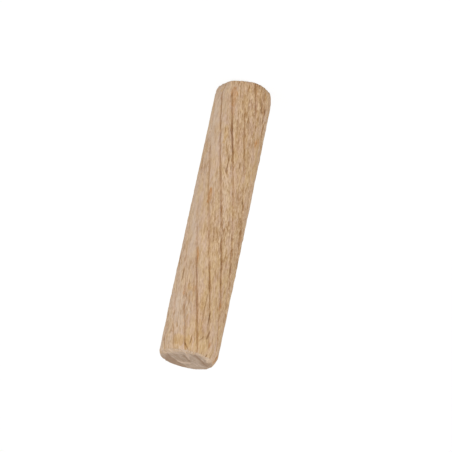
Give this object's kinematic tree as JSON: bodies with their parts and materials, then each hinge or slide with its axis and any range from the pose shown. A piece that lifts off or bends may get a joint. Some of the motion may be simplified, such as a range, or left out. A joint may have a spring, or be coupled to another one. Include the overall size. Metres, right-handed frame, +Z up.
{
  "type": "fluted dowel pin",
  "caption": "Short round wooden pin with narrow spiral flutes and rounded ends, glued into drilled holes to join two boards.",
  "frame": {"origin": "centre of the lower end face, the one the pin stands on", "axes": "+Z up the pin's axis, from the lower end face to the upper one; -Y faces the viewer; +X to the viewer's right"},
  "size_m": [0.008, 0.008, 0.04],
  "materials": {
    "beech": "raw, rough-cut beech with torn fibres"
  },
  "bodies": {
    "root": {"dowel_pin": "beech"}
  },
  "joints": []
}
